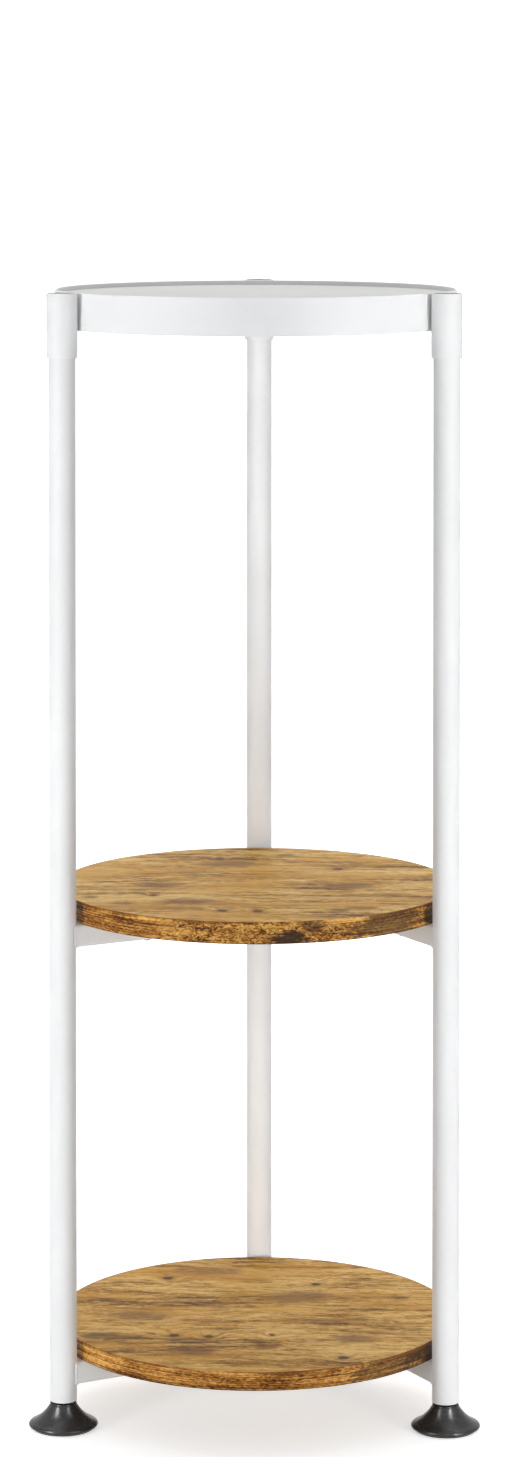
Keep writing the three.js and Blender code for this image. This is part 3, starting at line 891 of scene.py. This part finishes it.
class STAND_OT_tray(StandOperator):
    """Makes the tray's band with its rolled rim, and its floor with a turned-down flange"""

    bl_idname = "plant_stand.tray"
    bl_label = "Tray"

    def execute(self, context):
        low, high = heights_of("tray_band")
        outer = outer_radius("tray_band", AXIS)
        inner = inner_radius("tray_band", AXIS)
        rim = (outer - inner) / 2
        small = self.shapes.edge_rounding
        outline = [
            *arc(outer - small, low + small, small, -90, 0, 3),
            *arc(outer - rim, high - rim, rim, 0, 180, 10),
            *arc(inner + small, low + small, small, 180, 270, 3),
            (outer - small, low),
        ]
        band = self.turn("tray_band_piece", outline, AXIS, DISC_STEPS)
        drill(band, [tray_screw_hole(side) for side in SIDES])
        finish_piece(band, self.coat(), "stand", "white_coat", "tray_band")

        low, high = heights_of("tray_plate")
        outer = outer_radius("tray_plate", AXIS)
        bend = self.shapes.bend_radius
        outline = [
            (0, high - TRAY_SHEET),
            *arc(outer - bend, high - bend, bend - TRAY_SHEET, 90, 0, 6),
            (outer - TRAY_SHEET, low),
            (outer, low),
            *arc(outer - bend, high - bend, bend, 0, 90, 10),
            (0, high),
        ]
        floor = self.turn("tray_floor_piece", outline, AXIS, DISC_STEPS)
        # The tray's floor gets the pale grey coat: painted shade on white coat.
        coat = self.kept_finish(powder_coat, "tray_floor_coat", self.finishes.floor_coat, roughness=0.5)
        finish_piece(floor, coat, "stand", "tray_floor_coat", "tray_plate")
        return {"FINISHED"}


class STAND_OT_sleeves(StandOperator):
    """Makes the sleeves that take the legs' tops, and the caps that close them"""

    bl_idname = "plant_stand.sleeves"
    bl_label = "Sleeves and caps"

    def execute(self, context):
        outer = outer_radius("sleeve_back", LEG_PLACES["back"])
        cap_radius = outer_radius("sleeve_cap_back", LEG_PLACES["back"])
        bore = LEG_RADIUS + GAP
        bores = [(*LEG_PLACES[side], bore) for side in SIDES]
        # The sleeves' coat has painted shade inside their bores.
        coat = powder_coat("sleeve_coat", tuple(self.finishes.coat), COAT_ROUGHNESS, bores)
        small, soft = self.shapes.edge_rounding, self.shapes.cap_rounding
        for side in SIDES:
            place = LEG_PLACES[side]
            low, high = heights_of(f"sleeve_{side}")
            sleeve = self.turn(f"sleeve_piece_{side}", tube_outline(outer, bore, low, high, small), place)
            drill(sleeve, [tray_screw_hole(side)])
            finish_piece(sleeve, coat, "stand", "white_coat", f"sleeve_{side}")

            low, high = heights_of(f"sleeve_cap_{side}")
            outline = [
                (0, low),
                *arc(cap_radius - small, low + small, small, -90, 0, 3),
                *arc(cap_radius - soft, high - soft, soft, 0, 90, 6),
                (0, high),
            ]
            cap = self.turn(f"sleeve_cap_piece_{side}", outline, place)
            finish_piece(cap, self.coat(), "stand", "white_coat", f"sleeve_cap_{side}")
        return {"FINISHED"}


class STAND_OT_legs(StandOperator):
    """Makes the round-tube legs"""

    bl_idname = "plant_stand.legs"
    bl_label = "Legs"

    def execute(self, context):
        bore = LEG_RADIUS - TUBE_WALL
        for side in SIDES:
            low, high = heights_of(f"leg_{side}")
            outline = tube_outline(LEG_RADIUS, bore, low, high, self.shapes.edge_rounding)
            leg = self.turn(f"leg_piece_{side}", outline, LEG_PLACES[side])
            drill(leg, [tray_screw_hole(side)])
            finish_piece(leg, self.coat(), "stand", "white_coat", f"leg_{side}")
        return {"FINISHED"}


class STAND_OT_boards(StandOperator):
    """Makes the two round boards and their edge bands"""

    bl_idname = "plant_stand.boards"
    bl_label = "Boards"

    # Knots, smudges and stains are (x, y, reach) on the board. Edge stains and leg shade are ((x, y, z),
    # reach, strength): those beside a leg are painted shade, the rest are stains.
    WOOD = {
        "middle": {
            "shift": (0.31, 0.12, 0.0),
            "knots": (
                (-0.023, -0.125, 0.0034), (0.003, -0.127, 0.003), (-0.076, -0.068, 0.0022),
                (0.062, 0.04, 0.0035), (-0.03, 0.082, 0.003),
            ),
            "smudges": (
                (-0.074, -0.027, 0.022), (-0.097, -0.097, 0.013), (-0.049, -0.089, 0.024),
                (0.078, -0.113, 0.014), (0.07, -0.03, 0.024), (-0.02, 0.06, 0.03),
            ),
            "stains": ((0.063, -0.121, 0.009), (-0.122, -0.075, 0.008), (0.02, 0.1, 0.012)),
        },
        "bottom": {
            "shift": (1.45, 0.83, 0.2),
            "knots": (
                (-0.06, -0.079, 0.0034), (-0.034, -0.081, 0.003), (0.013, -0.077, 0.0018),
                (0.065, -0.131, 0.0034), (0.045, 0.055, 0.003), (-0.07, 0.07, 0.0035),
            ),
            "smudges": (
                (-0.042, -0.117, 0.021), (0.01, -0.106, 0.011), (0.074, -0.083, 0.02),
                (-0.089, -0.03, 0.026), (0.03, 0.02, 0.03), (-0.04, 0.09, 0.028),
            ),
            "stains": ((-0.106, -0.083, 0.024), (0.11, 0.02, 0.012)),
        },
    }
    EDGES = {
        "middle": {
            "shift": WOOD["middle"]["shift"],
            "burl_reach": 0.085,
            "burl_share": 1.0,
            "stains_and_leg_shade": (
                ((0.025, -0.163, 0.375), 0.017, 0.95), ((0.043, -0.162, 0.385), 0.012, 0.6),
                # The second entry on this line and the one below sit beside the right and left legs: painted
                # shade.
                ((0.097, -0.131, 0.38), 0.04, 0.72), ((0.137, -0.08, 0.38), 0.033, 0.75),
                ((-0.139, -0.078, 0.38), 0.02, 0.8),
            ),
        },
        "bottom": {
            "shift": WOOD["bottom"]["shift"],
            "burl_reach": 0.06,
            "burl_share": 0.3,
            "stains_and_leg_shade": (
                # The second entry on this line and the one below sit beside the right and left legs: painted
                # shade.
                ((0.1, -0.129, 0.056), 0.048, 0.6), ((0.137, -0.08, 0.056), 0.055, 0.85),
                ((-0.139, -0.078, 0.056), 0.016, 0.8),
            ),
        },
    }

    def execute(self, context):
        chamfer, soft = SEAM_CHAMFER, self.shapes.board_rounding
        for tier in TIERS:
            low, high = heights_of(f"{tier}_board")
            outer = outer_radius(f"{tier}_edge_band", AXIS)
            seam = inner_radius(f"{tier}_edge_band", AXIS)
            outline = [
                (0, low),
                (seam - chamfer, low),
                (seam, low + chamfer),
                (seam, high - chamfer),
                (seam - chamfer, high),
                (0, high),
            ]
            board = self.turn(f"{tier}_board_piece", outline, AXIS, DISC_STEPS)
            drill(board, [self.pilot_hole(f"{tier}_board_screw_{side}") for side in SIDES])
            wood = board_finish(f"{tier}_board_wood", self.finishes, **self.WOOD[tier])
            finish_piece(board, wood, "stand", "board_wood", f"{tier}_board")

            outline = [
                *arc(outer - soft, low + soft, soft, -90, 0, 5),
                *arc(outer - soft, high - soft, soft, 0, 90, 5),
                (seam, high),
                (seam, low),
                (outer - soft, low),
            ]
            band = self.turn(f"{tier}_edge_band_piece", outline, AXIS, DISC_STEPS)
            edge = edge_finish(f"{tier}_edge", self.finishes, (low, high), **self.EDGES[tier])
            finish_piece(band, edge, "stand", "board_edge", f"{tier}_edge_band")
        return {"FINISHED"}

    def pilot_hole(self, screw):
        """Hole that a board screw cuts its thread in."""
        place = centre_of(screw)
        low, high = heights_of(screw)
        return (*place, low), (*place, high), PILOT_HOLE


class STAND_OT_bars(StandOperator):
    """Makes the square-tube bars under the boards and the welds that hold them to the legs"""

    bl_idname = "plant_stand.bars"
    bl_label = "Bars and welds"

    def execute(self, context):
        left, right, back = (LEG_PLACES[side] for side in SIDES)
        stem_way = (AXIS - left).normalized()
        cross_way = (back - right).normalized()
        cross_length = (back - right).length
        corner = self.shapes.bar_corner
        for tier in TIERS:
            low, top = heights_of(f"{tier}_stem_bar")
            size = top - low
            middle = top - size / 2
            stem_length = max((place.xy - left).dot(stem_way) for place in corners_of(f"{tier}_stem_bar"))
            mesh = bar_mesh(left, stem_way, stem_length, size, corner, middle, False)
            stem = add_object(f"{tier}_stem_bar_piece", mesh)
            drill(stem, [self.screw_hole(tier, "left", size)])
            finish_piece(stem, self.coat(), "stand", "white_coat", f"{tier}_stem_bar")

            mesh = bar_mesh(right, cross_way, cross_length, size, corner, middle, True)
            cross = add_object(f"{tier}_cross_bar_piece", mesh)
            holes = [self.screw_hole(tier, side, size) for side in ("right", "back")]
            drill(cross, [*holes, self.bolt_hole(f"{tier}_stem_bolt", stem_way)])
            finish_piece(cross, self.coat(), "stand", "white_coat", f"{tier}_cross_bar")

            seams = ((left, stem_way, 1), (right, cross_way, 1), (back, cross_way, -1))
            paths = [saddle_path(leg, way, side, size, corner, middle) for leg, way, side in seams]
            radius, ripple = self.shapes.weld_radius, self.shapes.weld_ripple
            maker = kept("weld", weld_maker)
            welds = maker.make(f"{tier}_bar_welds", join_meshes(*paths), radius=radius, ripple=ripple)
            finish_piece(welds, self.coat(), "stand", "white_coat")
        return {"FINISHED"}

    def screw_hole(self, tier, side, size):
        """Hole up through a bar for a board screw."""
        place = centre_of(f"{tier}_board_screw_{side}")
        top = heights_of(f"{tier}_stem_bar")[1]
        return (*place, top - 2 * size), (*place, top + size), BAR_HOLE

    def bolt_hole(self, bolt, way):
        """Hole through the cross bar for the stem's bolt."""
        place, height = centre_of(bolt), middle_height(bolt)
        past_the_bar = 40 * MM
        start, end = place - way * past_the_bar, place + way * past_the_bar
        return (*start, height), (*end, height), STEM_BOLT["shank"] + GAP


class STAND_OT_fasteners(StandOperator):
    """Makes the screws and bolts, threaded and set in place, and finishes the hidden nuts and plugs"""

    bl_idname = "plant_stand.fasteners"
    bl_label = "Screws and bolts"

    def execute(self, context):
        head_gap = 0.1 * MM
        short_of_middle = 2 * MM
        seat = inner_radius("tray_band", AXIS) - head_gap
        length = (LEG_PLACES["back"] - AXIS).length - seat - short_of_middle
        nodes = [f"tray_screw_{side}" for side in SIDES]
        ways = [outward(side) for side in SIDES]
        seats = [(AXIS + way * seat, middle_height(node), way) for node, way in zip(nodes, ways)]
        tray_screw = self.machine_screw("tray_screw", length, **TRAY_SCREW)
        self.set_in(seats, "tray_screw_pieces", tray_screw, 3, nodes)

        way = (AXIS - LEG_PLACES["left"]).normalized()
        nodes = [f"{tier}_stem_bolt" for tier in TIERS]
        seats = []
        for tier, node in zip(TIERS, nodes):
            reach = max((place.xy - AXIS).dot(way) for place in corners_of(f"{tier}_cross_bar"))
            seats.append((AXIS + way * reach, middle_height(node), -way))
        bolt = self.machine_screw("stem_bolt", STEM_BOLT_LENGTH, **STEM_BOLT)
        self.set_in(seats, "stem_bolt_pieces", bolt, 8, nodes)

        nodes = [f"{tier}_board_screw_{side}" for tier in TIERS for side in SIDES]
        bar_bottoms = [heights_of(f"{tier}_stem_bar")[0] for tier in TIERS for _ in SIDES]
        up = Vector((0, 0, 1))
        seats = [(centre_of(node), height, up) for node, height in zip(nodes, bar_bottoms)]
        self.set_in(seats, "board_screw_pieces", self.wood_screw("board_screw", **BOARD_SCREW), 5, nodes)

        for node in [*(f"leg_nut_{side}" for side in SIDES), *(f"{tier}_stem_plug" for tier in TIERS)]:
            dress_node(node, self.zinc())
        return {"FINISHED"}

    def machine_screw(self, name, length, shank, head, head_height, socket, pitch):
        """Button-head screw with a hexagon socket, up from the underside of its head."""
        depth = 0.55 * pitch
        screw = self.threaded_rod(
            name, radius=shank, depth=depth, pitch=pitch, length=length, point=0.0, steps=SHANK_STEPS
        )
        add_shell(screw, screw_head(head, head_height, shank, lambda height: hexagon_ring(socket, height)))
        return screw

    def wood_screw(self, name, shank, head, cross_length, cross_width):
        """Pan-head wood screw with a cross recess and a sharp point, up from the underside of its head."""
        low, high = heights_of("middle_board_screw_left")
        seat = heights_of("middle_stem_bar")[0]
        screw = self.threaded_rod(
            name,
            radius=shank,
            depth=self.shapes.wood_thread,
            pitch=self.shapes.wood_pitch,
            length=high - seat,
            point=self.shapes.wood_point,
            steps=SHANK_STEPS,
        )

        def recess(height):
            return cross_ring(cross_length, cross_width, height)

        add_shell(screw, screw_head(head, seat - low, shank, recess))
        return screw

    def set_in(self, seats, name, fastener, seed, nodes):
        """Sets a fastener on each seat, (place, height, direction), and removes the loose one."""
        points = mesh_from("seats", [(*place.xy, height) for place, height, _ in seats])
        directions = points.attributes.new("direction", "FLOAT_VECTOR", "POINT")
        directions.data.foreach_set("vector", [part for _, _, way in seats for part in way.to_3d()])
        placed = kept("fastener", fastener_maker).make(name, points, fastener=fastener, seed=seed)
        bpy.data.objects.remove(fastener)
        finish_piece(placed, self.zinc(), "stand", "zinc_steel", *nodes)


class STAND_OT_feet(StandOperator):
    """Makes the trumpet-shaped feet, their threaded studs and the inserts in the tube ends"""

    bl_idname = "plant_stand.feet"
    bl_label = "Feet"

    # In millimetres. The sole is measured out from its edge and up, the lip in from its rim and up, and the
    # flare out from the neck and down.
    SOLE = ((-0.5, 0), (0, 0.3), (0, 0.95), (0.35, 1.15))
    LIP = ((1.9, 1.15), (0.6, 1.8), (0, 3), (1.1, 4.4), (3.5, 5.6))
    FLARE = ((8.9, 10.9), (5.4, 7.9), (2.4, 4.4), (0.6, 1.7), (0, 0.3))
    SOLE_INSET = 2.6 * MM
    NECK_INSET = 0.4 * MM

    def execute(self, context):
        finishes, shapes = self.finishes, self.shapes
        scuffs = tuple(finishes.scuffs)
        plastic = self.kept_finish(
            moulded_plastic, "black_plastic", finishes.plastic, scuffs=scuffs, roughness=0.26, specular=0.3
        )
        nylon = self.kept_finish(
            moulded_plastic, "black_nylon", finishes.nylon, scuffs=scuffs, roughness=0.7, specular=0.1
        )
        radius = outer_radius("foot_stud_back", LEG_PLACES["back"])
        bore = radius + GAP
        for side in SIDES:
            place = LEG_PLACES[side]
            pad = self.turn(f"foot_piece_{side}", self.pad_outline(bore), place, FOOT_STEPS)
            finish_piece(pad, plastic, f"{side}_foot", "black_plastic", f"foot_pad_{side}")

            insert = self.turn(f"foot_insert_piece_{side}", self.insert_outline(bore), place)
            finish_piece(insert, nylon, "stand", "black_plastic", f"foot_insert_{side}")

            low, high = heights_of(f"foot_stud_{side}")
            stud = self.threaded_rod(
                f"foot_stud_piece_{side}",
                radius=radius,
                depth=shapes.stud_thread,
                pitch=shapes.stud_pitch,
                length=high - low,
                point=0.0,
                steps=HEAD_STEPS,
            )
            stud.data.transform(Matrix.Translation((*place, low)))
            finish_piece(stud, self.zinc(), f"{side}_stud", "zinc_steel", f"foot_stud_{side}")
        return {"FINISHED"}

    def pad_outline(self, bore):
        """A sole, a rounded lip that curves in under itself, a flare up to the neck, and the stud's seat."""
        top = heights_of("foot_pad_back")[1]
        rim = outer_radius("foot_pad_back", LEG_PLACES["back"])
        neck = LEG_RADIUS - self.NECK_INSET
        edge_of_sole = rim - self.SOLE_INSET
        chamfer = 0.5 * MM
        neck_chamfer = 0.3 * MM
        seat = 5 * MM
        curve = [(rim - inset * MM, level * MM) for inset, level in self.LIP]
        curve += [(neck + out * MM, top - down * MM) for out, down in self.FLARE]
        return [
            (0, 0),
            *((edge_of_sole + out * MM, level * MM) for out, level in self.SOLE),
            *smooth_line(curve, 4),
            (neck - neck_chamfer, top),
            (bore + chamfer, top),
            (bore, top - chamfer),
            (bore, seat),
            (0, seat),
        ]

    def insert_outline(self, bore):
        """A flange under the tube's end, a plug in its bore that narrows at the top, and the stud's hole."""
        low, high = heights_of("foot_insert_back")
        flange = outer_radius("foot_insert_back", LEG_PLACES["back"])
        tube_end = heights_of("leg_back")[0]
        plug = LEG_RADIUS - TUBE_WALL - GAP
        lead_in = 1 * MM
        small = self.shapes.edge_rounding
        return [
            (flange - small, low),
            (flange, low + small),
            (flange, tube_end - small),
            (flange - small, tube_end),
            (plug, tube_end),
            (plug, high - lead_in),
            (plug - lead_in, high),
            (bore, high),
            (bore, low + small),
            (bore + small, low),
            (flange - small, low),
        ]


def smooth_line(points, steps):
    """A Catmull-Rom curve through the points."""
    ends = [points[0], *points, points[-1]]
    line = []
    for corners in zip(ends, ends[1:], ends[2:], ends[3:]):
        for step in range(steps):
            t = step / steps
            weights = (
                -0.5 * t + t**2 - 0.5 * t**3,
                1 - 2.5 * t**2 + 1.5 * t**3,
                0.5 * t + 2 * t**2 - 1.5 * t**3,
                -0.5 * t**2 + 0.5 * t**3,
            )
            line.append([sum(w * corner[axis] for w, corner in zip(weights, corners)) for axis in (0, 1)])
    return [*line, points[-1]]


def straight_or_mirrored(net):
    """1 for rays from the camera, through glass or off a glossy surface, 0 for the rest."""
    rays = net.node("ShaderNodeLightPath")
    direct = net.maths("MAXIMUM", rays | "Is Camera Ray", rays | "Is Transmission Ray")
    return net.maths("MAXIMUM", direct, rays | "Is Glossy Ray")


class STAND_OT_stage(StandOperator):
    """Sets the floor, the lamps, the surround and the camera"""

    bl_idname = "plant_stand.stage"
    bl_label = "Stage"

    PHOTO_WIDTH = 505
    PHOTO_HEIGHT = 1457
    FOCAL_PIXELS = 4090.9
    PRINCIPAL_COLUMN = 256.0
    SHIFT_UP = -0.34
    CAMERA_DISTANCE = 3.0726
    CAMERA_HEIGHT = 0.9724
    CAMERA_TURN = 0.0153
    CAMERA_PITCH = 0.0302
    FLOOR_COLOUR = (0.76, 0.775, 0.8, 1)
    FLOOR_HALF = 30
    SIDE_PLACE = (0.736, -0.817)
    SIDE_SIZE = (0.16, 0.54)
    SIDE_LEVELS = (("upper", 0.58, 0.145), ("lower", 0.28, -0.145))
    STRIP_SIZE = (0.3, 1.3)
    STRIPS = (("left", (-1.05, -0.82, 1.1), (-0.3, 0, 0)), ("right", (0.95, -0.95, 1.1), (0.3, 0, 0)))

    def execute(self, context):
        studio = context.scene.studio
        context.scene.view_settings.view_transform = "Standard"
        self.set_camera(context.scene)
        self.set_world(context.scene)
        self.set_floor()
        across, ahead = self.SIDE_PLACE
        for name, side in (("left", -1), ("right", 1)):
            for level, height, rise in self.SIDE_LEVELS:
                place, target = (side * across, ahead, height), (0, 0, height + rise)
                lamp = self.add_lamp(f"lamp_{name}_{level}", place, target, self.SIDE_SIZE, studio.side_power)
                lamp.data.spread = studio.side_spread
        self.add_lamp("lamp_front", (0, -3.3, 0.42), (0, 0, 0.42), (1.6, 0.8), studio.front_power)
        self.add_lamp("lamp_back", (0, 1.6, 0.8), (0, 0, 0.42), (1.2, 1.2), studio.back_power)
        self.add_lamp("lamp_top", (0, 0.7, 3), (0, 0, 0.4), (2.6, 2.6), studio.top_power)
        for name, place, target in self.STRIPS:
            strip = self.add_lamp(f"strip_{name}", place, target, self.STRIP_SIZE, studio.strip_power)
            strip.data.spread = studio.strip_spread
            strip.visible_diffuse = False
        return {"FINISHED"}

    def set_camera(self, scene):
        data = bpy.data.cameras.new("camera")
        data.lens = self.FOCAL_PIXELS * data.sensor_width / self.PHOTO_HEIGHT
        data.shift_x = (self.PHOTO_WIDTH / 2 - self.PRINCIPAL_COLUMN) / self.PHOTO_HEIGHT
        data.shift_y = self.SHIFT_UP
        data.clip_end = 100
        camera = add_object("camera", data)
        back = Vector((math.sin(self.CAMERA_TURN), -math.cos(self.CAMERA_TURN)))
        camera.location = (*(AXIS + back * self.CAMERA_DISTANCE), self.CAMERA_HEIGHT)
        camera.rotation_euler = (math.pi / 2 - self.CAMERA_PITCH, 0, self.CAMERA_TURN)
        scene.camera = camera

    def set_world(self, scene):
        """Lights the stand from all round, more from above, and shows as white where it is seen."""
        world = bpy.data.worlds.new("surround")
        world.use_nodes = True
        scene.world = world
        net = Net(world.node_tree)
        background = world.node_tree.nodes["Background"]
        background.inputs["Color"].default_value = (1, 1, 1, 1)
        _, _, up = net.parts(net.node("ShaderNodeTexCoord", output="Generated"))
        strength = scene.studio.surround + scene.studio.sky * net.maths("MAXIMUM", up, 0)
        strength = strength + (1 - strength) * straight_or_mirrored(net)
        world.node_tree.links.new(strength.socket, background.inputs["Strength"])

    def set_floor(self):
        """A pale floor that glows where it is seen: least in an ellipse under the stand, a painted shadow,
        and most far away.
        """
        half = self.FLOOR_HALF
        corners = [(-half, -half, 0), (half, -half, 0), (half, half, 0), (-half, half, 0)]
        floor = add_object("studio_floor", mesh_from("studio_floor", corners, (), [(0, 1, 2, 3)]))
        finish = Finish(
            "studio_floor",
            base_color=self.FLOOR_COLOUR,
            roughness=0.9,
            specular_ior_level=0,
            emission_strength=1,
        )
        far = finish.vector("LENGTH", finish.place((1, 1, 1)), output="Value")
        aside = finish.vector("LENGTH", finish.place((0.85, 1.2, 0), (0, 0.085, 0)), output="Value")
        # Painted shadow: the glow is lower inside an ellipse just in front of the stand's axis, on top of the
        # lamps' shadow.
        glow_and_painted_shadow = 0.55 + 0.2 * finish.step(aside, 0.118, 0.155) + 0.25 * finish.step(far, 0.35, 1.2)
        seen = glow_and_painted_shadow * straight_or_mirrored(finish)
        finish.feed("Emission Color", finish.mix(seen, (0, 0, 0), (1, 1, 1)))
        floor.data.materials.append(finish.material)

    def add_lamp(self, name, place, target, size, power):
        data = bpy.data.lights.new(name, "AREA")
        data.shape = "RECTANGLE"
        data.size, data.size_y = size
        data.energy = power
        lamp = add_object(name, data)
        lamp.location = place
        lamp.rotation_euler = (Vector(target) - Vector(place)).to_track_quat("-Z", "Y").to_euler()
        lamp.visible_camera = False
        return lamp


class STAND_PT_panel(bpy.types.Panel):
    """Lists the stand's operators and settings"""

    bl_label = "Plant stand"
    bl_idname = "STAND_PT_panel"
    bl_space_type = "VIEW_3D"
    bl_region_type = "UI"
    bl_category = "Plant stand"

    def draw(self, context):
        layout = self.layout
        for operator in OPERATORS:
            layout.operator(operator.bl_idname)
        for group in (context.scene.stand_shapes, context.scene.stand_finishes, context.scene.studio):
            box = layout.box()
            for name in group.bl_rna.properties.keys():
                if name not in ("rna_type", "name"):
                    box.prop(group, name)


GROUPS = {"stand_shapes": StandShapes, "stand_finishes": StandFinishes, "studio": StudioSettings}
OPERATORS = (
    STAND_OT_stage,
    STAND_OT_tray,
    STAND_OT_sleeves,
    STAND_OT_legs,
    STAND_OT_boards,
    STAND_OT_bars,
    STAND_OT_fasteners,
    STAND_OT_feet,
)
CLASSES = (*GROUPS.values(), *OPERATORS, STAND_PT_panel)


def register():
    for cls in CLASSES:
        bpy.utils.register_class(cls)
    for name, group in GROUPS.items():
        setattr(bpy.types.Scene, name, bpy.props.PointerProperty(type=group))


def unregister():
    for name in GROUPS:
        delattr(bpy.types.Scene, name)
    for cls in reversed(CLASSES):
        bpy.utils.unregister_class(cls)


def main():
    register()
    for operator in OPERATORS:
        group, name = operator.bl_idname.split(".")
        getattr(getattr(bpy.ops, group), name)()


if __name__ == "__main__":
    main()
